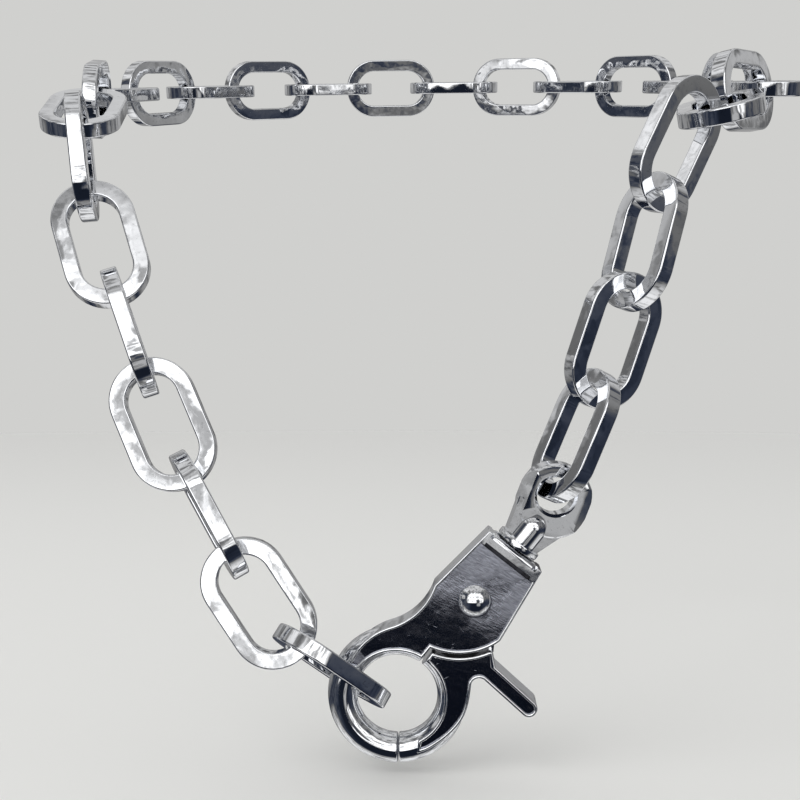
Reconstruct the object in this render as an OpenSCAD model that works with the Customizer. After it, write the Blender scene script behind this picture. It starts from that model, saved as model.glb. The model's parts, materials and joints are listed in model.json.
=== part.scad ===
// Round link chain with a scissor swivel clasp, worn as a necklace.
// Lengths are in millimetres and angles in degrees. X points to the right, Y to the back, Z up.
// The origin is the centre of the arc that lies round the back of the neck.

/* [Links] */
// Length of a link over its ends
link_len = 20.1; // [19.6:0.1:21]
// Width of a link over its sides
link_w = 12.4; // [12.2:0.1:13]
// Thickness of the square wire
wire = 2.4; // [2:0.1:2.5]
// Bevel along the edges of the wire
wire_bevel = 0.25; // [0.1:0.05:0.4]
// Play between two links that pull on each other
link_play = 0.7; // [0.5:0.1:0.9]
// Number of links in the stretch behind the neck
back_links = 13; // [11:2:17]
// Rise of that stretch towards the back
back_rise = 18; // [10:1:30]

/* [Hoop] */
// Radius of the middle of the hoop's wire
hoop_r = 8; // [7.8:0.1:8.4]
// Radius of the hoop's round wire
hoop_wire_r = 2.15; // [1.9:0.05:2.2]
// Angle at which the hoop is split, from the clasp's long axis
split_angle = 218.6; // [212:0.2:222]
// Angle of the clasp's long axis above the horizontal
clasp_rise = 52; // [45:1:60]
// How far the swivel's end of the clasp turns towards the front
clasp_turn = 5; // [0:1:8]

/* [Clasp body] */
// Thickness of the clasp's plates
plate_t = 4.4; // [4.3:0.1:5]
// Place of the rivet along the clasp from the hoop's centre
rivet_u = 18.2; // [18:0.1:18.5]
// Place of the top end along the clasp
top_u = 27.5; // [27.2:0.1:28]
// Width of the bright rim round a sunk face
rim_w = 0.5; // [0.3:0.05:0.6]
// Depth of a sunk face
sink = 0.3; // [0.1:0.05:0.35]

/* [Trigger] */
// Thickness of the tail that turns in the body's slot
tail_t = 1.6; // [1.2:0.1:1.7]
// Width of the thumb arm
arm_w = 2.5; // [2:0.1:2.8]
// Length of the thumb arm to the middle of its round end
arm_len = 8.5; // [6:0.5:10]

/* [Rivet] */
// Radius of the rivet's pin
pin_r = 1.2; // [1:0.05:1.3]
// Radius of the rivet's domed heads
head_r = 2.45; // [2.2:0.05:2.6]
// Height of the rivet's domed heads
head_h = 1.3; // [0.9:0.1:1.5]

/* [Swivel eye] */
// Place of the bore's centre along the clasp
eye_u = 37.1; // [36.9:0.1:37.3]
// Radius of the eye's bore
bore_r = 2.7; // [2.65:0.05:2.8]
// Outer radius of the eye
eye_r = 5.5; // [5.3:0.1:5.7]
// Thickness of the eye along its bore
eye_t = 2.8; // [2.6:0.1:3]
// Turn of the eye about the clasp's long axis
eye_turn = 8; // [6:1:12]
// Radius of the swivel's collar
collar_r = 3.3; // [3:0.1:3.5]
// Radius of the swivel's stem
stem_r = 1; // [0.8:0.05:1.1]

/* [Hidden] */
$fn = 64;
running_fit = 0.08;
press_fit = 0.02;
slot_w = 2;
seam = 0.55;
inner_len = link_len - 2 * wire;
pitch = inner_len - link_play;
bend_r = (link_w - wire) / 2;
leg = link_len - link_w;

// The visible links above the hoop and above the swivel, from the front up to the neck.
// lean: sideways, to the right where positive. slope: to the back. roll: turn about its own length.
// cant: swing in the link's own plane.
// seat: shift of the contact round the bend of the link before, in that link's plane.
// hang: shift of the contact round this link's own bend, in its own plane.
LEAN = 0;
SLOPE = 1;
ROLL = 2;
CANT = 3;
SEAT = 4;
HANG = 5;
left_links = [
    // lean, slope, roll, cant, seat, hang
    [-52, -16, 70, 6, 0, 0],
    [-36, -2, -4, 3, 0, 0],
    [-29, 3, 74, 0, 0, 0],
    [-26, 6, -5, 2, 0, 0],
    [-21, 9, 78, -2, 0, 0],
    [-19, 12, -12, 0, 0, 0],
    [-9, 12, 80, 4, 15, 0],
    [-9, 57, -11, 0, 0, 0],
    [-20, 66, 68, 0, 0, 22],
];
right_links = [
    // lean, slope, roll, cant, seat, hang
    [24, 0, 66, -2, 0, 0],
    [18, -3, -26, 0, 0, 0],
    [16, -2, 61, -3, 0, 0],
    [23, 1, -37, 3, 0, 0],
    [34, 64, 45, 0, 0, 0],
    [73, 48, -12, 0, 0, 20],
];
// Headings in which the stretch behind the neck leaves each side, to the right of straight back
left_heading = 11;
right_heading = 7;
link_count = len(left_links) + back_links + len(right_links);

// Where the first link of each side is hooked, from the hoop's centre and from the bore's centre
left_hook = [-4.3, 2.2, -0.3];
right_hook = [0, -0.3, bore_r - 1];
// Place of the bore's centre across the clasp
bore_v = 0.4;

function unit(v) = v / norm(v);
function direction(row) =
    [sin(row[LEAN]) * cos(row[SLOPE]), sin(row[SLOPE]), cos(row[LEAN]) * cos(row[SLOPE])];

// A frame is [width axis, long axis, normal].
function table_frame(row) =
    let (
        along = direction(row),
        front = unit([0, -1, 0] + along.y * along),
        side = cross(along, front),
        width = cos(row[ROLL]) * side + sin(row[ROLL]) * front,
        normal = cos(row[ROLL]) * front - sin(row[ROLL]) * side,
        c = row[CANT]
    )
    [cos(c) * width - sin(c) * along, cos(c) * along + sin(c) * width, normal];
function matrix(frame, place) =
    [for (k = [0:2]) [frame[0][k], frame[1][k], frame[2][k], place[k]]];

// Two links meet where each one's bend faces the pull of the other, in its own plane.
// reach is the distance from the middle of a bend to the point where the two meet.
reach = (pitch - leg) / 2;
function in_plane(pull, frame) = unit(pull - (pull * frame[2]) * frame[2]);
function turned(v, frame, angle) = cos(angle) * v + sin(angle) * cross(frame[2], v);
function contact(frames, rows, i) =
    turned(in_plane(frames[i][1], frames[i - 1]), frames[i - 1], rows[i][SEAT])
    + turned(in_plane(frames[i - 1][1], frames[i]), frames[i], rows[i][HANG]);
function low_bends(first, frames, rows, i) =
    i == 0 ? first
    : low_bends(first, frames, rows, i - 1) + leg * frames[i - 1][1] + reach * contact(frames, rows, i);
function table_frames(rows) = [for (row = rows) table_frame(row)];
function table_middles(hook, frames, rows) =
    [for (i = [0:len(frames) - 1])
        low_bends(hook + reach * frames[0][1], frames, rows, i) + leg / 2 * frames[i][1]];

// The stretch behind the neck lies in a plane that rises to the back.
rising = [0, cos(back_rise), sin(back_rise)];
back_normal = [0, -sin(back_rise), cos(back_rise)];
function flat(v) = unit(v - (v * back_normal) * back_normal);
function table_end(middles, frames, heading) =
    let (last = len(frames) - 1, pull = sin(heading) * [1, 0, 0] + cos(heading) * rising)
    middles[last] + leg / 2 * frames[last][1]
        + reach * (in_plane(pull, frames[last]) + flat(frames[last][1]) - pull);

// The clasp's own axes: along it, across it to the upper left, and out of its front face
clasp_up = [cos(clasp_rise), 0, sin(clasp_rise)];
clasp_across = [-sin(clasp_rise), 0, cos(clasp_rise)];
clasp_along = cos(clasp_turn) * clasp_up + sin(clasp_turn) * [0, -1, 0];
clasp_face = cos(clasp_turn) * [0, -1, 0] - sin(clasp_turn) * clasp_up;

// Joints of the chain, with the hoop's centre at zero
bore_centre = eye_u * clasp_along + bore_v * clasp_across;
left_frames = table_frames(left_links);
right_frames = table_frames(right_links);
left_middles = table_middles(left_hook, left_frames, left_links);
right_middles = table_middles(bore_centre + right_hook, right_frames, right_links);
left_top = table_end(left_middles, left_frames, left_heading);
right_top = table_end(right_middles, right_frames, right_heading);

// That stretch is equal chords of one arc.
span = right_top - left_top;
back_x = unit(span);
back_y = unit(rising - (rising * back_x) * back_x);
back_up = cross(back_x, back_y);
function arc_step(low, high, tries) =
    let (mid = (low + high) / 2)
    tries == 0 ? mid
    : sin(back_links * mid / 2) / sin(mid / 2) > norm(span) / pitch ? arc_step(mid, high, tries - 1)
    : arc_step(low, mid, tries - 1);
step_angle = arc_step(1, 360 / back_links, 40);
half_angle = back_links * step_angle / 2;
back_r = pitch / (2 * sin(step_angle / 2));
back_centre = (left_top + right_top) / 2 - back_r * cos(half_angle) * back_y;
back_joints = [for (i = [0:back_links]) let (a = i * step_angle - half_angle)
    back_centre + back_r * (sin(a) * back_x + cos(a) * back_y)];
function back_frame(i) =
    let (along = unit(back_joints[i + 1] - back_joints[i]))
    i % 2 == 0 ? [cross(along, back_up), along, back_up] : [back_up, along, cross(back_up, along)];

// Each link's place, from the hoop up the left side, round the back and down to the swivel
link_places = concat(
    [for (i = [0:len(left_links) - 1]) matrix(left_frames[i], left_middles[i] - back_centre)],
    [for (i = [0:back_links - 1])
        matrix(back_frame(i), (back_joints[i] + back_joints[i + 1]) / 2 - back_centre)],
    [for (i = [len(right_links) - 1:-1:0]) matrix(right_frames[i], right_middles[i] - back_centre)]
);
clasp_place = matrix([clasp_along, clasp_across, clasp_face], -back_centre);

function link_name(i) = str("link_", i < 9 ? "0" : "", i + 1);

// Moves every edge of a counterclockwise outline inwards by the same distance.
function inset(points, d) =
    let (n = len(points))
    [for (i = [0:n - 1])
        let (
            before = unit(points[i] - points[(i + n - 1) % n]),
            after = unit(points[(i + 1) % n] - points[i]),
            in_a = [-before.y, before.x],
            in_b = [-after.y, after.x]
        )
        points[i] + d * (in_a + in_b) / (1 + in_a * in_b)];

// A square with bevelled corners, centred on zero
module wire_section() {
    h = wire / 2;
    b = h - wire_bevel;
    polygon([[h, -b], [h, b], [b, h], [-b, h], [-h, b], [-h, -b], [-b, -h], [b, -h]]);
}

// One link, its length along Y and its opening along Z
module link() {
    for (end = [0, 180])
        rotate([0, 0, end])
            translate([0, leg / 2, 0])
                rotate_extrude(angle = 180)
                    translate([bend_r, 0])
                        wire_section();
    for (side = [-1, 1])
        translate([side * bend_r, leg / 2, 0])
            rotate([90, 0, 0])
                linear_extrude(leg)
                    wire_section();
}

// The seam between body and trigger is an arc round this point. By the hoop it runs level.
seam_centre = [18.7, 3.4];
body_seam_r = 10.2;
trigger_seam_r = body_seam_r + seam;
body_seam_v = 0.7;
trigger_seam_v = body_seam_v - seam;
face_in_r = 6.9;
far = 60;

// Outline of the body's plate without its round cuts
body_corners = [
    [top_u, -4.8], [top_u, 4.7], [16, 6], [9, 12], [-2, 12], [-0.4, 7.4], [1.4, 5],
    [6, 0], [9, -6.5], [14, -6.5], [16, -6.4],
];
// The upper edge curves in at the waist and out again round the shoulder by the hoop.
waist = [13.2, 14.9];
waist_r = 9.5;
shoulder = [2.2, -0.8];
shoulder_r = norm(waist - shoulder) - waist_r;

// Outline of the body's plate, drawn in by d
module body_outline(d = 0) {
    difference() {
        intersection() {
            polygon(inset(body_corners, d));
            union() {
                translate(seam_centre) circle(body_seam_r - d);
                translate([-far, body_seam_v + d]) square([2 * far, far]);
            }
            union() {
                translate(shoulder) circle(shoulder_r - d);
                translate([(shoulder.x + waist.x) / 2, -far]) square(2 * far);
            }
        }
        translate(waist) circle(waist_r + d);
        circle(face_in_r + d);
    }
}

// Slot in which the trigger's tail turns, open to the right and below
slot_top_u = 22.4;
slot_corners = [[8.2, 0.35], [5, -0.1], [5, -9], [slot_top_u, -9], [slot_top_u, 3.9], [15.8, 3.9]];

// Sizes of the body's top end, where the swivel turns
cavity_r = 1.5;
cavity_end = 24.2;
groove = [25.3, 25.9];
groove_depth = 0.6;
bar_r = 0.9;
bar_level = 1.25;
bar_half = 3.1;
bar_u = groove[1] + bar_r;

// The stretch of the hoop's round wire between two angles
body_hoop_start = 5;
module hoop_wire(from, to) {
    rotate([0, 0, from])
        rotate_extrude(angle = to - from)
            translate([hoop_r, 0])
                circle(hoop_wire_r);
}

module along_clasp(from, to, r) {
    translate([from, 0, 0]) rotate([0, 90, 0]) cylinder(h = to - from, r = r);
}

// A rounded bar across the top end, one on each face
module end_bar() {
    translate([bar_u, 0, bar_level]) {
        rotate([90, 0, 0]) cylinder(h = 2 * bar_half, r = bar_r, center = true);
        for (side = [-1, 1])
            translate([0, side * bar_half, 0]) sphere(bar_r);
    }
}

module clasp_body() {
    color("silver")
    multmatrix(clasp_place) {
        difference() {
            union() {
                linear_extrude(plate_t, center = true) body_outline();
                hoop_wire(body_hoop_start, split_angle);
            }
            for (face = [0, 1])
                mirror([0, 0, face]) {
                    translate([0, 0, plate_t / 2 - sink])
                        linear_extrude(plate_t)
                            intersection() {
                                body_outline(rim_w);
                                square([2 * groove[0], far], center = true);
                            }
                    translate([groove[0], -bar_half - bar_r, plate_t / 2 - groove_depth])
                        cube([top_u, 2 * (bar_half + bar_r), plate_t]);
                    translate([bar_u, -bar_half - bar_r, bar_level])
                        cube([top_u, 2 * (bar_half + bar_r), plate_t]);
                }
            linear_extrude(slot_w, center = true) polygon(slot_corners);
            translate([rivet_u, 0, 0]) cylinder(h = 2 * plate_t, r = pin_r + press_fit, center = true);
            along_clasp(slot_top_u - 0.5, cavity_end, cavity_r);
            along_clasp(cavity_end - 0.5, top_u + 1, stem_r + running_fit);
        }
        difference() {
            for (face = [0, 1])
                mirror([0, 0, face]) end_bar();
            along_clasp(cavity_end, top_u + 1, stem_r + running_fit);
        }
    }
}

// Outline of the trigger's plate without its round cuts. It tapers off along the hoop.
trigger_corners = [
    [8, 1], [5, 1], [-2, -5.6], [-4.6, -7.3], [-3, -8.3], [0, -9.2], [3.2, -9.45], [5.6, -8.72],
    [8.25, -7.18], [9.9, -8.1], [12.6, -8.2], [14, -6.5], [9.4, -1],
];
crotch = [8.85, -8.15];
crotch_r = 1.15;
arm_root = [11.3, -7.2];
arm_lean = 4;

// Outline of the trigger's plate, drawn in by d
module trigger_outline(d = 0) {
    difference() {
        union() {
            polygon(inset(trigger_corners, d));
            translate(arm_root)
                rotate([0, 0, -arm_lean]) {
                    translate([d - arm_w / 2, -arm_len]) square([arm_w - 2 * d, arm_len]);
                    translate([0, -arm_len]) circle(arm_w / 2 - d);
                }
        }
        translate(seam_centre) circle(trigger_seam_r + d);
        translate(crotch) circle(crotch_r + d);
        circle(face_in_r + d);
        translate([-far, trigger_seam_v - d]) square([2 * far, far]);
    }
}

tail_r = 3.4;
tail_corners = [[8.4, -0.45], [13.8, -6.9], [20.6, -2.5], [16, 2.7]];
lip = 1.5;
trigger_hoop_end = 361;

module trigger() {
    color("silver")
    multmatrix(clasp_place)
        difference() {
            union() {
                linear_extrude(plate_t, center = true) trigger_outline();
                difference() {
                    hoop_wire(split_angle + lip, trigger_hoop_end);
                    translate(seam_centre)
                        cylinder(h = 2 * plate_t, r = trigger_seam_r, center = true);
                }
                linear_extrude(tail_t, center = true) {
                    translate([rivet_u, 0]) circle(tail_r);
                    polygon(tail_corners);
                }
            }
            for (face = [0, 1])
                mirror([0, 0, face])
                    translate([0, 0, plate_t / 2 - sink])
                        linear_extrude(plate_t)
                            trigger_outline(rim_w);
            translate([rivet_u, 0, 0]) cylinder(h = 2 * plate_t, r = pin_r + running_fit, center = true);
        }
}

dome_r = (head_r * head_r + head_h * head_h) / (2 * head_h);
head_level = plate_t / 2 - sink + press_fit;

module rivet() {
    color("silver")
    multmatrix(clasp_place)
        translate([rivet_u, 0, 0]) {
            cylinder(h = 2 * head_level, r = pin_r, center = true);
            for (face = [0, 1])
                mirror([0, 0, face])
                    intersection() {
                        translate([0, 0, head_level + head_h - dome_r]) sphere(dome_r);
                        translate([0, 0, head_level]) cylinder(h = 2 * head_h, r = 2 * head_r);
                    }
        }
}

// Sizes of the swivel between its head and its eye
swivel_head = [23.05, 24.05];
head_fit = 0.12;
collar = [27.95, 28.85];
neck_base_r = 2.5;
neck_tip = 35;
neck_tip_r = 1.1;
shoulder_half = [2.4, 4.4];
shoulder_t = 2.2;
shoulder_end = 34;
eye_bevel = 0.4;

// The bore lies off the middle of the eye, and the eye's corners are cut to lens-shaped facets.
eye_offset = [-0.7, -0.4];
lens_half = 3.8;
lens_lean = 18;

module eye_disc() {
    h = eye_t / 2;
    intersection() {
        rotate_extrude()
            polygon([
                [0, -h], [eye_r - eye_bevel, -h], [eye_r, eye_bevel - h],
                [eye_r, h - eye_bevel], [eye_r - eye_bevel, h], [0, h],
            ]);
        rotate([0, 0, lens_lean])
            rotate([45, 0, 0])
                cube([4 * eye_r, 2 * lens_half, 2 * lens_half], center = true);
    }
}

module swivel_eye() {
    color("silver")
    multmatrix(clasp_place)
        rotate([eye_turn, 0, 0]) {
            along_clasp(swivel_head[0], swivel_head[1], cavity_r - head_fit);
            along_clasp(swivel_head[0], collar[1], stem_r);
            along_clasp(collar[0], collar[1], collar_r);
            difference() {
                union() {
                    translate([collar[0], 0, 0])
                        rotate([0, 90, 0])
                            cylinder(h = neck_tip - collar[0], r1 = neck_base_r, r2 = neck_tip_r);
                    linear_extrude(shoulder_t, center = true)
                        polygon([
                            [collar[0], -shoulder_half[0]], [shoulder_end, -shoulder_half[1]],
                            [shoulder_end, shoulder_half[1]], [collar[0], shoulder_half[0]],
                        ]);
                    translate([eye_u, bore_v, 0]) translate(eye_offset) eye_disc();
                }
                translate([eye_u, bore_v, 0]) {
                    cylinder(h = far, r = bore_r, center = true);
                    for (face = [0, 1])
                        mirror([0, 0, face])
                            translate([0, 0, eye_t / 2 - eye_bevel])
                                cylinder(h = eye_bevel, r1 = bore_r, r2 = bore_r + eye_bevel);
                }
            }
        }
}

for (i = [0:link_count - 1])
    color("silver") multmatrix(link_places[i]) link();
clasp_body();
trigger();
rivet();
swivel_eye();
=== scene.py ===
"""Round link chain necklace with a scissor swivel clasp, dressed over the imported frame."""
import json
from math import atan2, cos, pi, radians, sin, sqrt
from types import SimpleNamespace

import bmesh
import bpy
import numpy as np
from bpy.props import FloatProperty, FloatVectorProperty, PointerProperty
from mathutils import Matrix, Vector


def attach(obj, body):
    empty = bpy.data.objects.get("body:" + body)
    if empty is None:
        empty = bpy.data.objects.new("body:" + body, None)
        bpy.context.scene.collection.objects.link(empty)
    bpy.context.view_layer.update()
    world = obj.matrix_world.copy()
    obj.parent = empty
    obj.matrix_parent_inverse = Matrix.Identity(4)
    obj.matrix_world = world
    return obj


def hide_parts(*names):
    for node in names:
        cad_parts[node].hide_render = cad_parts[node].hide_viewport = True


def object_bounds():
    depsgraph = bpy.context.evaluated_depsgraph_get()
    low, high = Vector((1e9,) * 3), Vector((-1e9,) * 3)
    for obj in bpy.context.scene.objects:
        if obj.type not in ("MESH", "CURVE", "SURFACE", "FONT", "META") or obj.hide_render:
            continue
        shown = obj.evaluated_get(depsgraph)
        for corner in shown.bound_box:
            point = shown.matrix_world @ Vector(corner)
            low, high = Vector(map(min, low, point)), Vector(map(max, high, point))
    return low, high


bl_info = {
    "name": "Round Link Chain Necklace",
    "version": (1, 0, 0),
    "blender": (4, 5, 0),
    "location": "3D View > Sidebar > Necklace",
    "description": "Polished links, scissor clasp and swivel eye of a chunky chain necklace",
    "category": "Object",
}

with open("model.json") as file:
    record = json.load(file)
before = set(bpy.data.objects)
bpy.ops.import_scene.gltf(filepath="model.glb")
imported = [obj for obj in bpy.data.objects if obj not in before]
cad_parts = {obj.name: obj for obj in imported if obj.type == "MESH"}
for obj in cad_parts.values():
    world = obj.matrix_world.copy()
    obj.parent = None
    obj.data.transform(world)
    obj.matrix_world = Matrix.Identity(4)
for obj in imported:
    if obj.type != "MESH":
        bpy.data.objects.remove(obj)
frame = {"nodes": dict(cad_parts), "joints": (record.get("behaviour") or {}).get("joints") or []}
cad_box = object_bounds()
joints = {joint["name"]: joint for joint in frame["joints"]}

# Pieces are drawn in millimetres and scaled to metres when they are put in their place
MM = 0.001

# Where the rivet is along the clasp, in mm from the hoop's middle
RIVET_U = 18.2

# Distances for cleaning up meshes, in mm, and angles between faces, in degrees
MERGE_DIST = 0.001
CUT_MERGE_DIST = 0.002
ON_LEVEL = 1e-4
STEEP = 35.0
SHARP = 38
FLAT_FACE_WEIGHT = 90

# Places of the second and third material of a clasp piece: the sunk faces, and painted shade on
# the seam walls and in the groove
RECESS_SLOT = 1
PAINTED_SHADE_SLOT = 2


def length(name, text, default):
    """A size that the user may change, given in millimetres and kept in metres."""
    return FloatProperty(
        name=name, description=text, default=default * MM, min=0.0, precision=5,
        subtype="DISTANCE", unit="LENGTH",
    )


def in_mm(group):
    """The sizes of a group in millimetres, the unit in which the pieces are drawn."""
    return SimpleNamespace(**{name: getattr(group, name) / MM for name in group.__annotations__})


def tint(name, text, default):
    """A colour that the user may change."""
    return FloatVectorProperty(
        name=name, description=text, default=default, subtype="COLOR", size=3, min=0.0, max=1.0
    )


class NecklaceLinkSizes(bpy.types.PropertyGroup):
    """Sizes of a link."""

    link_len: length("Link length", "Length of a link over its ends", 20.06)
    link_w: length("Link width", "Width of a link over its sides", 12.36)
    wire: length("Wire", "Thickness of the square wire", 2.4)
    bevel: length("Bevel", "Rounded bevel along the edges of the wire", 0.27)


class NecklaceClaspSizes(bpy.types.PropertyGroup):
    """Sizes of the clasp."""

    plate_t: length("Plate thickness", "Thickness of the clasp's plates", 4.4)
    rim_w: length("Rim", "Width of the bright rim round a sunk face", 0.5)
    sink: length("Sink", "Depth of a sunk face", 0.3)
    edge: length("Edge", "Rounding of the clasp's edges", 0.2)
    hoop_r: length("Hoop radius", "Radius of the middle of the hoop's wire", 8.0)
    hoop_wire_r: length("Hoop wire", "Radius of the hoop's round wire", 2.15)
    head_r: length("Rivet head", "Radius of the rivet's domed heads", 2.45)
    head_h: length("Rivet dome", "Height of the rivet's domed heads", 1.3)
    eye_r: length("Eye radius", "Outer radius of the swivel's eye", 5.5)
    bore_r: length("Eye bore", "Radius of the bore of the swivel's eye", 2.7)
    eye_t: length("Eye thickness", "Thickness of the eye along its bore", 2.8)
    collar_r: length("Collar", "Radius of the swivel's collar", 3.3)


class NecklaceFinish(bpy.types.PropertyGroup):
    """Colours of the metal and of the studio."""

    link_tint: tint("Link metal", "Colour of the polished links", (0.80, 0.81, 0.83))
    clasp_tint: tint("Clasp metal", "Colour of the clasp's rims and hoop", (0.76, 0.77, 0.79))
    recess_tint: tint("Sunk faces", "Colour of the brushed sunk faces", (0.36, 0.37, 0.42))
    floor_tint: tint("Floor", "Colour of the floor", (0.80, 0.80, 0.78))


def clasp_matrix():
    """Place of the clasp's own axes: along it, across it and out of its front face."""
    along = Vector(joints["swivel_turn"]["axis"]).normalized()
    face = Vector(joints["trigger_pivot"]["axis"]).normalized()
    across = face.cross(along)
    origin = Vector(joints["trigger_pivot"]["pos_m"]) - RIVET_U * MM * along
    place = Matrix((along, across, face)).transposed().to_4x4()
    place.translation = origin
    return place @ Matrix.Scale(MM, 4)


def link_matrix(name):
    """A link's place, from its solid's own balance: width, length, then thickness."""
    mesh = frame["nodes"][name].data
    mesh.calc_loop_triangles()
    co = np.empty(len(mesh.vertices) * 3)
    mesh.vertices.foreach_get("co", co)
    co = co.reshape(-1, 3)
    tri = np.array([t.vertices[:] for t in mesh.loop_triangles])
    a, b, c = co[tri[:, 0]], co[tri[:, 1]], co[tri[:, 2]]
    area = np.linalg.norm(np.cross(b - a, c - a), axis=1)
    centre = (area[:, None] * (a + b + c) / 3).sum(0) / area.sum()
    spread = np.zeros((3, 3))
    for p in ((a + b) / 2, (b + c) / 2, (c + a) / 2):
        q = p - centre
        spread += (area[:, None, None] * q[:, :, None] * q[:, None, :]).sum(0)
    axes = np.linalg.eigh(spread)[1]
    normal, along = Vector(axes[:, 0]), Vector(axes[:, 2])
    width = along.cross(normal)
    place = Matrix((width, along, normal)).transposed().to_4x4()
    place.translation = Vector(centre)
    return place @ Matrix.Scale(MM, 4)


def open_edges(bm):
    """The edges round a hole."""
    return [e for e in bm.edges if len(e.link_faces) < 2]


def seal(bm):
    """Merges doubles and turns all faces outwards."""
    bmesh.ops.remove_doubles(bm, verts=bm.verts, dist=MERGE_DIST)
    bmesh.ops.recalc_face_normals(bm, faces=bm.faces)


def round_edges(bm, edges, offset, segments):
    """Rounds some edges."""
    bmesh.ops.bevel(
        bm, geom=edges, offset=offset, offset_type="OFFSET", segments=segments, profile=0.5,
        affect="EDGES", clamp_overlap=True, material=-1,
    )


def steep_edges(bm, least=STEEP):
    """The edges where two faces meet at more than an angle in degrees."""
    return [e for e in bm.edges
            if len(e.link_faces) == 2 and e.calc_face_angle(0) > radians(least)]


def prism(points, low, high):
    """A closed prism over an outline of corner points."""
    bm = bmesh.new()
    face = bm.faces.new([bm.verts.new((x, y, low)) for x, y in points])
    made = bmesh.ops.extrude_face_region(bm, geom=[face])["geom"]
    lifted = [g for g in made if isinstance(g, bmesh.types.BMVert)]
    bmesh.ops.translate(bm, verts=lifted, vec=(0, 0, high - low))
    bmesh.ops.recalc_face_normals(bm, faces=bm.faces)
    return bm


def block(low, high):
    """A closed box between two corners."""
    return prism([(low[0], low[1]), (high[0], low[1]), (high[0], high[1]), (low[0], high[1])],
                 low[2], high[2])


def rod(start, end, radius, axis="Z", segments=64):
    """A closed cylinder along an axis, from one level to another."""
    bm = bmesh.new()
    bmesh.ops.create_cone(
        bm, cap_ends=True, segments=segments, radius1=radius, radius2=radius, depth=end - start
    )
    bmesh.ops.translate(bm, verts=bm.verts, vec=(0, 0, (start + end) / 2))
    if axis == "X":
        bmesh.ops.rotate(bm, verts=bm.verts, matrix=Matrix.Rotation(pi / 2, 3, "Y"))
    return bm


def turned(profile):
    """A closed shell turned about Z from a profile of radii and levels."""
    bm = bmesh.new()
    verts = [bm.verts.new((x, 0, z)) for x, z in profile]
    edges = [bm.edges.new(pair) for pair in zip(verts, verts[1:])]
    bmesh.ops.spin(
        bm, geom=edges, cent=(0, 0, 0), axis=(0, 0, 1), angle=2 * pi, steps=96, use_merge=True
    )
    seal(bm)
    return bm


def merged(parts):
    """One bmesh that holds several closed shells."""
    whole = parts[0]
    for part in parts[1:]:
        mesh = bpy.data.meshes.new("part")
        part.to_mesh(mesh)
        part.free()
        whole.from_mesh(mesh)
        bpy.data.meshes.remove(mesh)
    return whole


def carved(bm, cutters, operation="DIFFERENCE"):
    """Cuts closed shells out of a closed shell, or joins them to it."""
    objects = []
    for shell in [bm] + cutters:
        mesh = bpy.data.meshes.new("shell")
        shell.to_mesh(mesh)
        shell.free()
        objects.append(bpy.data.objects.new("shell", mesh))
        bpy.context.scene.collection.objects.link(objects[-1])
    base = objects[0]
    for cutter in objects[1:]:
        cut = base.modifiers.new("cut", "BOOLEAN")
        cut.operation = operation
        cut.solver = "EXACT"
        cut.object = cutter
    bpy.context.view_layer.update()
    result = base.evaluated_get(bpy.context.evaluated_depsgraph_get())
    out = bmesh.new()
    out.from_mesh(result.to_mesh())
    result.to_mesh_clear()
    for shell in objects:
        mesh = shell.data
        bpy.data.objects.remove(shell)
        bpy.data.meshes.remove(mesh)
    if not out.faces:
        raise RuntimeError("a cut left nothing")
    bmesh.ops.remove_doubles(out, verts=out.verts, dist=CUT_MERGE_DIST)
    return out


def trim(bm, point, normal):
    """Cuts everything beyond a plane away and closes the cut."""
    bmesh.ops.bisect_plane(
        bm, geom=bm.verts[:] + bm.edges[:] + bm.faces[:], dist=1e-6, plane_co=point,
        plane_no=normal, clear_outer=True,
    )
    bmesh.ops.holes_fill(bm, edges=open_edges(bm), sides=0)


def finished(name, bm, place, node, body, materials):
    """Makes the piece, puts it where its node is, hides the node and hangs the piece on its body.
    """
    bmesh.ops.transform(bm, matrix=place, verts=bm.verts)
    bmesh.ops.recalc_face_normals(bm, faces=bm.faces)
    mesh = bpy.data.meshes.new(name)
    bm.to_mesh(mesh)
    bm.free()
    mesh.shade_smooth()
    mesh.set_sharp_from_angle(angle=radians(SHARP))
    for material in materials:
        mesh.materials.append(material)
    piece = bpy.data.objects.new(name, mesh)
    bpy.context.scene.collection.objects.link(piece)
    weighted = piece.modifiers.new("flat faces", "WEIGHTED_NORMAL")
    weighted.keep_sharp = True
    weighted.weight = FLAT_FACE_WEIGHT
    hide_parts(node)
    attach(piece, body)


# Outlines of the clasp, in mm: u runs along it from the hoop's middle, v across it and away
# from the thumb arm
ARC_STEPS = 18
HOOP_CENTRE = Vector((0, 0))
SEAM_CENTRE = Vector((18.7, 3.4))
BODY_SEAM_R = 10.2
TRIGGER_SEAM_R = 10.75
BODY_SEAM_V = 0.7
TRIGGER_SEAM_V = 0.15
FACE_IN_R = 6.9
BODY_CORNERS = [
    (27.5, -4.8), (27.5, 4.7), (16, 6), (9, 12), (-2, 12), (-0.4, 7.4), (1.4, 5),
    (6, 0), (9, -6.5), (14, -6.5), (16, -6.4),
]
WAIST = Vector((13.2, 14.9))
WAIST_R = 9.5
SHOULDER = Vector((2.2, -0.8))
SHOULDER_R = (WAIST - SHOULDER).length - WAIST_R
TRIGGER_CORNERS = [
    (14, -6.5), (12.6, -8.2), (9.9, -8.1), (8.25, -7.18), (5.6, -8.72), (3.2, -9.45), (0, -9.2),
    (-3, -8.3), (-4.6, -7.3), (-2, -5.6), (5, 1), (8, 1), (9.4, -1),
]
CROTCH = Vector((8.85, -8.15))
CROTCH_R = 1.15
ARM_ROOT = Vector((11.3, -7.2))
ARM_LEAN = radians(4)
ARM_W = 2.5
ARM_LEN = 8.5
SPLIT_ROUNDING = 0.22
SEAM_REACH = 0.04


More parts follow.
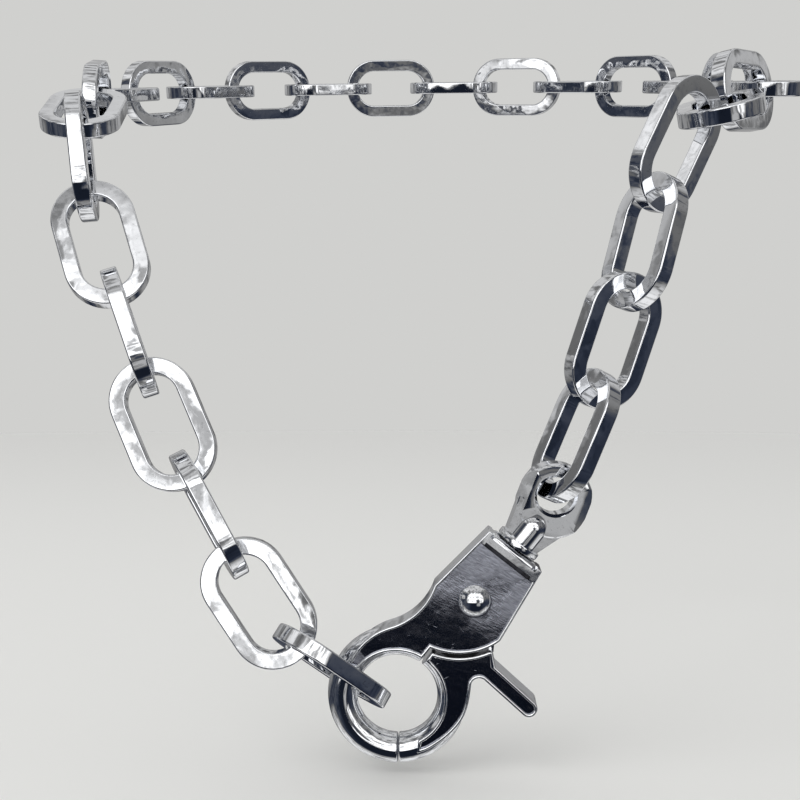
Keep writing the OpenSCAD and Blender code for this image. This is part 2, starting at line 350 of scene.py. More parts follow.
def drawn_in(points, d):
    """The outline with every edge moved inwards by d, the right way round for either turn."""
    points = [Vector(p) for p in points]
    turn = sum(a.x * b.y - a.y * b.x for a, b in zip(points, points[1:] + points[:1]))
    side = 1 if turn > 0 else -1
    out = []
    for i, p in enumerate(points):
        before = (p - points[i - 1]).normalized()
        after = (points[(i + 1) % len(points)] - p).normalized()
        in_a, in_b = Vector((-before.y, before.x)), Vector((-after.y, after.x))
        out.append(p + side * d * (in_a + in_b) / (1 + in_a.dot(in_b)))
    return out


def crossing(a, b, centre, radius, near):
    """Where the line through a and b crosses a circle, on the side of the point near."""
    along = (b - a).normalized()
    foot = a + along * (centre - a).dot(along)
    half = sqrt(max(radius ** 2 - (centre - foot).length ** 2, 0))
    return min((foot - half * along, foot + half * along), key=lambda p: (p - near).length)


def level_crossing(centre, radius, level, side):
    """Where a level line crosses a circle, on its left or right side."""
    return Vector((centre.x + side * sqrt(radius ** 2 - (level - centre.y) ** 2), level))


def line_at(a, b, u):
    """The point of the line through a and b at a place along the clasp."""
    return a + (b - a) * (u - a.x) / (b.x - a.x)


def softened(points):
    """A run of points whose inner corners are cut twice over, so that it reads as a curve."""
    for _ in range(2):
        cut = [points[0]]
        for before, corner, after in zip(points, points[1:], points[2:]):
            cut += [corner.lerp(before, 0.25), corner.lerp(after, 0.25)]
        points = cut + [points[-1]]
    return points


def body_outline(d, top_u):
    """Stops round the body's plate: a point and the centre of the arc that leads to it."""
    c = drawn_in(BODY_CORNERS, d)
    waist_r, face_r, seam_r, level = WAIST_R + d, FACE_IN_R + d, BODY_SEAM_R - d, BODY_SEAM_V + d
    turn = WAIST + waist_r * (SHOULDER - WAIST).normalized()
    return [
        (line_at(c[10], c[0], top_u), None),
        (line_at(c[1], c[2], top_u), None),
        (crossing(c[1], c[2], WAIST, waist_r, c[2]), None),
        (turn, WAIST),
        (crossing(c[4], c[5], SHOULDER, SHOULDER_R - d, c[5]), SHOULDER),
        (c[5], None),
        (crossing(c[5], c[6], HOOP_CENTRE, face_r, c[5]), None),
        (level_crossing(HOOP_CENTRE, face_r, level, 1), HOOP_CENTRE),
        (level_crossing(SEAM_CENTRE, seam_r, level, -1), None),
        (crossing(c[10], c[0], SEAM_CENTRE, seam_r, c[10]), SEAM_CENTRE),
    ]


def trigger_outline(d):
    """Stops round the trigger's plate and its thumb arm."""
    c = drawn_in(TRIGGER_CORNERS, d)
    face_r, seam_r, crotch_r = FACE_IN_R + d, TRIGGER_SEAM_R + d, CROTCH_R + d
    level, arm = TRIGGER_SEAM_V - d, ARM_W / 2 - d
    down = Vector((-sin(ARM_LEAN), -cos(ARM_LEAN)))
    out = Vector((cos(ARM_LEAN), -sin(ARM_LEAN)))
    tip = ARM_ROOT + ARM_LEN * down
    right, left = ARM_ROOT + arm * out, ARM_ROOT - arm * out
    bottom = c[2] - c[1]
    to_bottom = (c[1] - right).cross(bottom) / down.cross(bottom)
    crotch_end = crossing(c[3], c[4], CROTCH, crotch_r, c[3])
    return [
        (level_crossing(SEAM_CENTRE, seam_r, level, -1), None),
        (crossing(c[12], c[0], SEAM_CENTRE, seam_r, c[0]), SEAM_CENTRE),
        (c[0], None),
        (right + to_bottom * down, None),
        (tip + arm * out, None),
        (tip + arm * down, tip),
        (tip - arm * out, tip),
        (crossing(left, tip - arm * out, CROTCH, crotch_r, tip), None),
        (crotch_end, CROTCH),
        *[(point, None) for point in softened([crotch_end, *c[4:9]])[1:]],
        (crossing(c[8], c[9], HOOP_CENTRE, face_r, c[9]), None),
        (level_crossing(HOOP_CENTRE, face_r, level, 1), HOOP_CENTRE),
    ]


def drawn_loop(bm, stops, level):
    """Draws a closed outline: straight stops by extruding a point, arcs by spinning it."""
    first = last = bm.verts.new((*stops[0][0], level))
    edges = []
    for point, centre in stops[1:]:
        if centre is None:
            made = bmesh.ops.extrude_vert_indiv(bm, verts=[last])
            last, new_edges = made["verts"][0], made["edges"]
        else:
            a, b = last.co.xy - centre, point - centre
            sweep = atan2(a.x * b.y - a.y * b.x, a.dot(b))
            before = set(bm.edges)
            made = bmesh.ops.spin(
                bm, geom=[last], cent=(*centre, level), axis=(0, 0, 1), angle=sweep,
                steps=ARC_STEPS,
            )
            last = [g for g in made["geom_last"] if isinstance(g, bmesh.types.BMVert)][0]
            new_edges = [e for e in bm.edges if e not in before]
        last.co = (*point, level)
        edges += new_edges
    return edges + [bm.edges.new((last, first))]


def sunk_plate(outline, rim_outline, half, sink, edge):
    """A plate with a bright rim and a dark sunk face on both sides."""
    bm = bmesh.new()
    for side in (1, -1):
        outer = drawn_loop(bm, outline, side * half)
        inner = drawn_loop(bm, rim_outline, side * half)
        floor = drawn_loop(bm, rim_outline, side * (half - sink))
        bmesh.ops.bridge_loops(bm, edges=outer + inner)
        bmesh.ops.bridge_loops(bm, edges=inner + floor)
        face = bmesh.ops.contextual_create(bm, geom=floor)["faces"][0]
        face.material_index = RECESS_SLOT
        if side == 1:
            front = outer
    bmesh.ops.bridge_loops(bm, edges=front + outer)
    seal(bm)
    flat = [e for e in steep_edges(bm)
            if all(abs(abs(vert.co.z) - half) < ON_LEVEL for vert in e.verts)]
    round_edges(bm, flat, edge, 3)
    return bm


def paint_seam_shade(bm, radius):
    """Paints shade on the walls along the seam, the dark gap between body and trigger."""
    for face in bm.faces:
        middle = face.calc_center_median().xy
        beside = abs((middle - SEAM_CENTRE).length - radius) < SEAM_REACH
        if beside and middle.y < BODY_SEAM_V and abs(face.normal.z) < 0.3:
            face.material_index = PAINTED_SHADE_SLOT


def sunk_cutters(outline, level):
    """Two closed shells that stand on a sunk face, one on each side."""
    cutters = []
    for low, high in ((level, 2 * level), (-2 * level, -level)):
        bm = bmesh.new()
        foot, top = drawn_loop(bm, outline, low), drawn_loop(bm, outline, high)
        bmesh.ops.bridge_loops(bm, edges=foot + top)
        for loop in (foot, top):
            bmesh.ops.contextual_create(bm, geom=loop)
        bmesh.ops.recalc_face_normals(bm, faces=bm.faces)
        cutters.append(bm)
    return cutters


def hoop_part(sizes, start, end):
    """A stretch of the hoop's round wire, with a rounded edge at both ends."""
    bm = bmesh.new()
    ring = bmesh.ops.create_circle(bm, segments=48, radius=sizes.hoop_wire_r)
    bmesh.ops.rotate(bm, verts=ring["verts"], matrix=Matrix.Rotation(pi / 2, 3, "X"))
    bmesh.ops.translate(bm, verts=ring["verts"], vec=(sizes.hoop_r, 0, 0))
    bmesh.ops.rotate(bm, verts=ring["verts"], matrix=Matrix.Rotation(radians(start), 3, "Z"))
    bmesh.ops.spin(
        bm, geom=bm.edges[:], cent=(0, 0, 0), axis=(0, 0, 1), angle=radians(end - start),
        steps=int((end - start) / 2),
    )
    bmesh.ops.holes_fill(bm, edges=open_edges(bm), sides=0)
    bmesh.ops.recalc_face_normals(bm, faces=bm.faces)
    round_edges(bm, steep_edges(bm), SPLIT_ROUNDING, 3)
    return bm


# Patterns in the metal, as noise scales per metre
GLOSS_CLOUDS = 300.0
SPECKS = 1800.0
CASTING_WAVES = 170.0
RIPPLES = 520.0
RECESS_CLOUDS = 260.0
# The next two paint shade on the seam walls and in the groove: a cloud scale and a dark colour
PAINTED_SHADE_CLOUDS = 900.0
PAINTED_SHADE_COLOR = (0.07, 0.07, 0.08)

# Where the grain of the sunk faces sets in and is full, in mm from the hoop's middle
GRAIN_RISE = (10, 27)
# Turn in radians, length and width in mm of the grain and of three sets of scratches
GRAIN = (0.5, 1.1, 0.2)
SCRATCHES = ((0.25, 2.2, 0.22), (-0.5, 1.6, 0.18), (0.9, 1.8, 0.2))
# How much lighter grained metal is than smooth metal, and how light it may be at most
WORN_LIGHTER = 1.3
WORN_LIGHTEST = 0.75


def new_material(name):
    """A new material with its node tree and its shader."""
    material = bpy.data.materials.new(name)
    material.use_nodes = True
    tree = material.node_tree
    return material, tree, tree.nodes["Principled BSDF"]


def node(tree, kind, **values):
    """A new shader node with some of its sockets and settings filled in."""
    made = tree.nodes.new(kind)
    for key, value in values.items():
        if key in made.inputs:
            made.inputs[key].default_value = value
        else:
            setattr(made, key, value)
    return made


def mapped(tree, source, from_range, to_range):
    """A value taken smoothly from one range to another."""
    made = node(tree, "ShaderNodeMapRange", interpolation_type="SMOOTHSTEP")
    names = ("From Min", "From Max", "To Min", "To Max")
    for name, value in zip(names, (*from_range, *to_range)):
        made.inputs[name].default_value = value
    tree.links.new(source, made.inputs["Value"])
    return made.outputs["Result"]


def noise(tree, place, scale, detail, roughness=0.5):
    """A soft random pattern."""
    made = node(tree, "ShaderNodeTexNoise", Scale=scale, Detail=detail, Roughness=roughness)
    tree.links.new(place, made.inputs["Vector"])
    return made.outputs["Fac"]


def stretched(tree, place, turn, long, thin):
    """Coordinates for a pattern that is drawn out along the clasp's face, its size in mm."""
    made = node(tree, "ShaderNodeMapping", vector_type="TEXTURE")
    made.inputs["Rotation"].default_value = (0.0, turn, 0.0)
    made.inputs["Scale"].default_value = (long * MM, thin * MM, thin * MM)
    tree.links.new(place, made.inputs["Vector"])
    return made.outputs["Vector"]


def tinted(tree, source, from_range, dark, color):
    """A colour that varies between a darker share of itself and itself."""
    made = node(tree, "ShaderNodeMix", data_type="RGBA")
    made.inputs["A"].default_value = (*[c * dark for c in color], 1)
    made.inputs["B"].default_value = (*color, 1)
    tree.links.new(mapped(tree, source, from_range, (0, 1)), made.inputs["Factor"])
    return made.outputs["Result"]


def bumped(tree, height, strength, distance, below=None):
    """A relief, laid over the one below it."""
    made = node(tree, "ShaderNodeBump", Strength=strength, Distance=distance)
    tree.links.new(height, made.inputs["Height"])
    if below:
        tree.links.new(below, made.inputs["Normal"])
    return made.outputs["Normal"]


def polished_metal(name, color, gloss, wave):
    """Plated and polished metal: long waves left by casting, faint pits, a little uneven gloss."""
    material, tree, shader = new_material(name)
    shader.inputs["Metallic"].default_value = 1.0
    place = node(tree, "ShaderNodeTexCoord").outputs["Object"]
    cloud = noise(tree, place, GLOSS_CLOUDS, 3.0)
    tree.links.new(mapped(tree, cloud, (0.35, 0.75), gloss), shader.inputs["Roughness"])
    specks = noise(tree, place, SPECKS, 3.0, 0.6)
    tree.links.new(tinted(tree, specks, (0.3, 0.42), 0.8, color), shader.inputs["Base Color"])
    swell = bumped(tree, noise(tree, place, CASTING_WAVES, 1.0), wave, 0.001)
    ripple = bumped(tree, noise(tree, place, RIPPLES, 1.0), wave, 0.00016, swell)
    tree.links.new(bumped(tree, specks, 0.05, 0.00004, ripple), shader.inputs["Normal"])
    return material


def grained_recess(name, color):
    """Dark sunk metal, smooth by the hoop and grained towards the swivel, with a few scratches."""
    material, tree, shader = new_material(name)
    shader.inputs["Metallic"].default_value = 1.0
    place = node(tree, "ShaderNodeTexCoord").outputs["Object"]
    along = Vector(joints["swivel_turn"]["axis"])
    hoop = clasp_matrix().translation.dot(along)
    rise = node(tree, "ShaderNodeVectorMath", operation="DOT_PRODUCT")
    rise.inputs[1].default_value = along
    tree.links.new(place, rise.inputs[0])
    level = [hoop + u * MM for u in GRAIN_RISE]
    upper = mapped(tree, rise.outputs["Value"], level, (0.0, 1.0))
    grain = noise(tree, stretched(tree, place, *GRAIN), 1.0, 4.0, 0.65)
    cloud = noise(tree, place, RECESS_CLOUDS, 2.0)
    worn = node(tree, "ShaderNodeMath", operation="MULTIPLY")
    tree.links.new(upper, worn.inputs[0])
    tree.links.new(mapped(tree, cloud, (0.3, 0.6), (0.4, 1.0)), worn.inputs[1])
    gloss = mapped(tree, worn.outputs[0], (0.0, 1.0), (0.1, 0.4))
    tree.links.new(gloss, shader.inputs["Roughness"])
    tone = node(tree, "ShaderNodeMix", data_type="RGBA")
    tree.links.new(worn.outputs[0], tone.inputs["Factor"])
    tree.links.new(tinted(tree, grain, (0.35, 0.65), 0.7, color), tone.inputs["A"])
    worn_color = [min(WORN_LIGHTER * c, WORN_LIGHTEST) for c in color]
    tree.links.new(tinted(tree, grain, (0.35, 0.65), 0.6, worn_color), tone.inputs["B"])
    tree.links.new(tone.outputs["Result"], shader.inputs["Base Color"])
    scratched = None
    for scratch in SCRATCHES:
        mark = noise(tree, stretched(tree, place, *scratch), 1.0, 0.0)
        depth = mapped(tree, mark, (0.84, 0.9), (1.0, 0.0))
        scratched = bumped(tree, depth, 0.3, 0.00003, scratched)
    swell = bumped(tree, cloud, 0.1, 0.0008, scratched)
    relief = node(tree, "ShaderNodeMath", operation="MULTIPLY")
    tree.links.new(grain, relief.inputs[0])
    tree.links.new(worn.outputs[0], relief.inputs[1])
    tree.links.new(bumped(tree, relief.outputs[0], 0.5, 0.0001, swell), shader.inputs["Normal"])
    return material


def painted_shade_metal(name):
    """Painted shade for the seam walls and the groove: dark, dull and a little cloudy metal."""
    material, tree, shader = new_material(name)
    shader.inputs["Metallic"].default_value = 1.0
    shader.inputs["Roughness"].default_value = 0.45
    place = node(tree, "ShaderNodeTexCoord").outputs["Object"]
    cloud = noise(tree, place, PAINTED_SHADE_CLOUDS, 3.0)
    color = tinted(tree, cloud, (0.3, 0.7), 0.5, PAINTED_SHADE_COLOR)
    tree.links.new(color, shader.inputs["Base Color"])
    return material


def clasp_materials():
    """The clasp's bright metal, its sunk faces and the painted shade of its seam walls and groove,
    made once.
    """
    names = ("clasp_polish", "clasp_recess", "clasp_seam_shade")
    if names[0] not in bpy.data.materials:
        finish = bpy.context.scene.necklace_finish
        polished_metal(names[0], finish.clasp_tint, (0.04, 0.09), 0.1)
        grained_recess(names[1], finish.recess_tint)
        painted_shade_metal(names[2])
    return [bpy.data.materials[name] for name in names]


def link_mesh(sizes):
    """A link with its length along Y: two spun bends and two straight legs of square wire."""
    half = sizes.wire / 2
    bend_r = (sizes.link_w - sizes.wire) / 2
    leg = sizes.link_len - sizes.link_w
    bm = bmesh.new()
    ring = bmesh.ops.create_circle(bm, segments=4, radius=half * sqrt(2))
    bmesh.ops.rotate(bm, verts=ring["verts"], matrix=Matrix.Rotation(pi / 4, 3, "Z"))
    bmesh.ops.rotate(bm, verts=ring["verts"], matrix=Matrix.Rotation(pi / 2, 3, "X"))
    bmesh.ops.translate(bm, verts=ring["verts"], vec=(bend_r, leg / 2, 0))
    last = bm.edges[:]
    for end in (1, -1):
        made = bmesh.ops.spin(
            bm, geom=last, cent=(0, end * leg / 2, 0), axis=(0, 0, 1), angle=pi, steps=36
        )
        last = [g for g in made["geom_last"] if isinstance(g, bmesh.types.BMEdge)]
        made = bmesh.ops.extrude_edge_only(bm, edges=last)
        moved = [g for g in made["geom"] if isinstance(g, bmesh.types.BMVert)]
        bmesh.ops.translate(bm, verts=moved, vec=(0, -end * leg, 0))
        last = [g for g in made["geom"] if isinstance(g, bmesh.types.BMEdge)]
    seal(bm)
    round_edges(bm, steep_edges(bm), sizes.bevel, 3)
    return bm


class NECKLACE_OT_links(bpy.types.Operator):
    """Make every link of the chain"""

    bl_idname = "necklace.links"
    bl_label = "Links"

    def execute(self, context):
        finish = context.scene.necklace_finish
        metal = polished_metal("link_polish", finish.link_tint, (0.03, 0.08), 0.16)
        for name in sorted(n for n in frame["nodes"] if n.startswith("link_")):
            bm = link_mesh(in_mm(context.scene.necklace_link_sizes))
            finished(name.replace("link", "polished_link"), bm, link_matrix(name), name, "chain",
                     [metal])
        return {"FINISHED"}


# The body's swivel end, in mm: a groove, a rounded bar, the hollow for the swivel's head and the
# slot for the trigger's tail. Cutters reach to END_U along the clasp and to FACE_CLEAR above it.
GROOVE = (25.3, 25.9)
GROOVE_DEPTH = 0.6
GROOVE_OVERLAP = 0.02
GROOVE_REACH = 0.01
UNDER_FACE = 0.05
BAR_U = 26.8
BAR_R = 0.9
BAR_LEVEL = 1.25
BAR_HALF = 3.1
CAVITY = (22, 28)
CAVITY_R = 1.5
END_U = 30
FACE_CLEAR = 4
SLOT_HALF = 1.0
SLOT_CORNERS = [(8.2, 0.35), (5, -0.1), (5, -9), (22.4, -9), (22.4, 3.9), (15.8, 3.9)]

# Where the two stretches of the hoop start and end, in degrees
SPLIT_ANGLE = 218.6
SPLIT_GAP = 1.5
BODY_HOOP_START = 5
TRIGGER_HOOP_END = 361


def end_bar(side):
    """The rounded bar across the body's swivel end, one on each face."""
    bm = bmesh.new()
    bmesh.ops.create_uvsphere(bm, u_segments=40, v_segments=20, radius=BAR_R)
    for end in (1, -1):
        half = [v for v in bm.verts if v.co.z * end > 1e-6]
        bmesh.ops.translate(bm, verts=half, vec=(0, 0, end * BAR_HALF))
    bmesh.ops.rotate(bm, verts=bm.verts, matrix=Matrix.Rotation(pi / 2, 3, "X"))
    bmesh.ops.translate(bm, verts=bm.verts, vec=(BAR_U, 0, side * BAR_LEVEL))
    return bm


def paint_groove_shade(bm, half):
    """Paints shade on the floor and the walls of the groove before the end bar."""
    for face in bm.faces:
        middle = face.calc_center_median()
        if (GROOVE[0] - GROOVE_REACH < middle.x < GROOVE[1] + GROOVE_REACH
                and half - GROOVE_DEPTH - GROOVE_REACH < abs(middle.z) < half - UNDER_FACE):
            face.material_index = PAINTED_SHADE_SLOT


class NECKLACE_OT_clasp_body(bpy.types.Operator):
    """Make the clasp's body with its half of the hoop"""

    bl_idname = "necklace.clasp_body"
    bl_label = "Clasp body"

    def execute(self, context):
        s = in_mm(context.scene.necklace_clasp_sizes)
        half = s.plate_t / 2
        plate = sunk_plate(
            body_outline(0, BODY_CORNERS[0][0]),
            body_outline(s.rim_w, GROOVE[0] - GROOVE_OVERLAP), half, s.sink, s.edge,
        )
        reach = BAR_HALF + BAR_R
        cutters = [prism(SLOT_CORNERS, -SLOT_HALF, SLOT_HALF), rod(*CAVITY, CAVITY_R, "X")]
        for side in (1, -1):
            for start, end, level in (
                (*GROOVE, half - GROOVE_DEPTH), (BAR_U, END_U, BAR_LEVEL),
            ):
                low, high = sorted((side * level, side * FACE_CLEAR))
                cutters.append(block((start, -reach, low), (end, reach, high)))
        plate = carved(plate, cutters)
        hoop = hoop_part(s, BODY_HOOP_START, SPLIT_ANGLE)
        hoop = carved(hoop, sunk_cutters(body_outline(s.rim_w, GROOVE[0]), half - s.sink))
        plate = carved(plate, [hoop], "UNION")
        # Painted shade on the walls along the seam and in the groove before the end bar
        paint_seam_shade(plate, BODY_SEAM_R)
        paint_groove_shade(plate, half)
        whole = merged([plate] + [end_bar(side) for side in (1, -1)])
        finished("clasp_shell", whole, clasp_matrix(), "clasp_body", "chain",
                 clasp_materials())
        return {"FINISHED"}


# The trigger's tail, which reaches round the rivet inside the body
TAIL_HALF = 0.8
TAIL_R = 3.4
TAIL_CORNERS = [(8.4, -0.45), (13.8, -6.9), (20.6, -2.5), (16, 2.7)]


class NECKLACE_OT_trigger(bpy.types.Operator):
    """Make the trigger with its half of the hoop, its thumb arm and its tail"""

    bl_idname = "necklace.trigger"
    bl_label = "Trigger"

    def execute(self, context):
        s = in_mm(context.scene.necklace_clasp_sizes)
        half = s.plate_t / 2
        plate = sunk_plate(trigger_outline(0), trigger_outline(s.rim_w), half, s.sink, s.edge)
        hoop = hoop_part(s, SPLIT_ANGLE + SPLIT_GAP, TRIGGER_HOOP_END)
        beside_seam = rod(-s.plate_t, s.plate_t, TRIGGER_SEAM_R, segments=96)
        bmesh.ops.translate(beside_seam, verts=beside_seam.verts, vec=(*SEAM_CENTRE, 0))
        sunk = sunk_cutters(trigger_outline(s.rim_w), half - s.sink)
        hoop = carved(hoop, [beside_seam] + sunk)
        disc = rod(-TAIL_HALF, TAIL_HALF, TAIL_R)
        bmesh.ops.translate(disc, verts=disc.verts, vec=(RIVET_U, 0, 0))
        tail = carved(prism(TAIL_CORNERS, -TAIL_HALF, TAIL_HALF), [disc], "UNION")
        whole = carved(plate, [hoop, tail], "UNION")
        # Painted shade on the walls along the seam
        paint_seam_shade(whole, TRIGGER_SEAM_R)
        finished("clasp_trigger", whole, clasp_matrix(), "trigger", "trigger",
                 clasp_materials())
        return {"FINISHED"}


# The rivet, in mm: its pin, and how its heads stand on the sunk faces
PIN_R = 1.2
HEAD_GAP = 0.02
HEAD_ROUNDING = 0.1


class NECKLACE_OT_rivet(bpy.types.Operator):
    """Make the rivet with its two domed heads"""

    bl_idname = "necklace.rivet"
    bl_label = "Rivet"

    def execute(self, context):
        s = in_mm(context.scene.necklace_clasp_sizes)
        level = s.plate_t / 2 - s.sink + HEAD_GAP
        dome_r = (s.head_r ** 2 + s.head_h ** 2) / (2 * s.head_h)
        parts = []
        for side in (1, -1):
            dome = bmesh.new()
            bmesh.ops.create_uvsphere(dome, u_segments=64, v_segments=48, radius=dome_r)
            rise = side * (level + s.head_h - dome_r)
            bmesh.ops.translate(dome, verts=dome.verts, vec=(0, 0, rise))
            trim(dome, (0, 0, side * level), (0, 0, -side))
            foot = [e for e in steep_edges(dome)
                    if abs(e.verts[0].co.z - side * level) < ON_LEVEL]
            round_edges(dome, foot, HEAD_ROUNDING, 2)
            parts.append(dome)
        parts.append(rod(-level, level, PIN_R))
        whole = merged(parts)
        bmesh.ops.translate(whole, verts=whole.verts, vec=(RIVET_U, 0, 0))
        finished("clasp_rivet", whole, clasp_matrix(), "rivet", "chain",
                 [polished_metal("rivet_polish", context.scene.necklace_finish.link_tint,
                                 (0.03, 0.06), 0.05)])
        return {"FINISHED"}


# The swivel, in mm along the clasp, with its turns in degrees
EYE_TURN = 8
BORE_AT = Vector((37.1, 0.4, 0))
BORE_REACH = 8
DISC_AT = Vector((36.4, 0, 0))
EYE_BEVEL = 0.4
EYE_ROUNDING = 0.1
EYE_STEEP = 20
FLARE_MARGIN = 0.05
LENS_TURNS = (45, 135, 225, 315)
LENS_HALF = 3.8
LENS_LEAN = radians(18)
COLLAR = (27.95, 28.85)
COLLAR_ROUNDING = 0.12
STEM_R = 1.0
HEAD = (23.05, 24.05)
HEAD_PLAY = 0.12
NECK_R = 2.25
NECK_TOP = 33.6
SHOULDER_PLATE = [(27.95, -2.4), (34, -4.4), (34, 4.4), (27.95, 2.4)]
SHOULDER_HALF_T = 1.1


def eye_disc(s):
    """The eye's disc with a bevelled rim, its four corners cut to lens-shaped facets."""
    h, b = s.eye_t / 2, EYE_BEVEL
    bm = turned([
        (0, -h), (s.eye_r - b, -h), (s.eye_r, b - h), (s.eye_r, h - b), (s.eye_r - b, h), (0, h),
    ])
    for turn in LENS_TURNS:
        normal = Vector((0, cos(radians(turn)), sin(radians(turn))))
        normal.rotate(Matrix.Rotation(LENS_LEAN, 3, "Z"))
        trim(bm, LENS_HALF * normal, normal)
    bmesh.ops.translate(bm, verts=bm.verts, vec=DISC_AT)
    return bm


def eye_neck():
    """The round neck that rises from the collar and ends in a dome under the bore."""
    bm = bmesh.new()
    bmesh.ops.create_uvsphere(bm, u_segments=64, v_segments=48, radius=NECK_R)
    bmesh.ops.rotate(bm, verts=bm.verts, matrix=Matrix.Rotation(pi / 2, 3, "Y"))
    bmesh.ops.translate(bm, verts=bm.verts, vec=(NECK_TOP - NECK_R, 0, 0))
    for vert in bm.verts:
        if vert.co.x < NECK_TOP - NECK_R - 1e-6:
            vert.co.x = COLLAR[0]
    return bm


def eye_bore(s):
    """What the bore cuts away: a cylinder that flares at both faces."""
    h, b = s.eye_t / 2, EYE_BEVEL
    bm = turned([
        (0, -BORE_REACH), (s.bore_r + b, -BORE_REACH), (s.bore_r + b, -h), (s.bore_r, b - h),
        (s.bore_r, h - b), (s.bore_r + b, h), (s.bore_r + b, BORE_REACH), (0, BORE_REACH),
    ])
    bmesh.ops.translate(bm, verts=bm.verts, vec=BORE_AT)
    return bm


class NECKLACE_OT_swivel_eye(bpy.types.Operator):
    """Make the swivel: eye, neck, collar and stem"""

    bl_idname = "necklace.swivel_eye"
    bl_label = "Swivel eye"

    def execute(self, context):
        s = in_mm(context.scene.necklace_clasp_sizes)
        shoulders = prism(SHOULDER_PLATE, -SHOULDER_HALF_T, SHOULDER_HALF_T)
        eye = carved(eye_disc(s), [eye_neck(), shoulders], "UNION")
        eye = carved(eye, [eye_bore(s)])
        flare_r = s.bore_r + EYE_BEVEL + FLARE_MARGIN
        outer = [e for e in steep_edges(eye, EYE_STEEP)
                 if ((e.verts[0].co + e.verts[1].co) / 2 - BORE_AT).xy.length > flare_r]
        round_edges(eye, outer, EYE_ROUNDING, 2)
        collar = rod(*COLLAR, s.collar_r, "X", 96)
        round_edges(collar, steep_edges(collar), COLLAR_ROUNDING, 2)
        whole = merged([
            eye, collar, rod(HEAD[0], COLLAR[1], STEM_R, "X"),
            rod(*HEAD, CAVITY_R - HEAD_PLAY, "X"),
        ])
        turn = Matrix.Rotation(radians(EYE_TURN), 4, "X")
        finished("clasp_eye", whole, clasp_matrix() @ turn, "swivel_eye", "swivel",
                 [polished_metal("eye_polish", context.scene.necklace_finish.clasp_tint,
                                 (0.04, 0.09), 0.1)])
        return {"FINISHED"}


# The stage, in metres: camera, floor and lamp
CAMERA_FROM_HOOP = Vector((0.4, -146, 42.8)) * MM
LENS_MM = 45
FLOOR_DROP = 1.5 * MM
FLOOR_R = 1.6
LAMP_AT = (-0.4, -0.4, 0.5)
LAMP_AIM = (0, -0.02, -0.1)
LAMP_SIZE = (0.5, 0.5)
LAMP_WATTS = 1.5

# What the camera sees of the room, what lights the floor, and how bright the metal sees its parts
BACKDROP = (0.631, 0.631, 0.618, 1)
DOME = (0.80, 0.80, 0.80, 1)
WINDOW_LIGHT = 1.7
PILLAR_SHADE = 0.08
CEILING_LIGHT = 0.62
GROUND_LIGHT = 0.85
LOW_CARD_LIGHT = 0.42
SIDE_CARD_LIGHT = 0.5
DARKEST = 0.018
SHADE_COLOR = (0.55, 0.75, 1.3, 1)
LIGHT_COLOR = (1, 1, 1, 1)


def soft_light(name, at, aim, size, watts):
    """A soft light that casts shadows and shows in no reflection."""
    light = bpy.data.lights.new(name, "AREA")
    light.shape = "RECTANGLE"
    light.size, light.size_y = size
    light.energy = watts
    lamp = bpy.data.objects.new(name, light)
    lamp.location = at
    lamp.rotation_euler = (Vector(aim) - Vector(at)).to_track_quat("-Z", "Y").to_euler()
    lamp.visible_glossy = False
    bpy.context.scene.collection.objects.link(lamp)


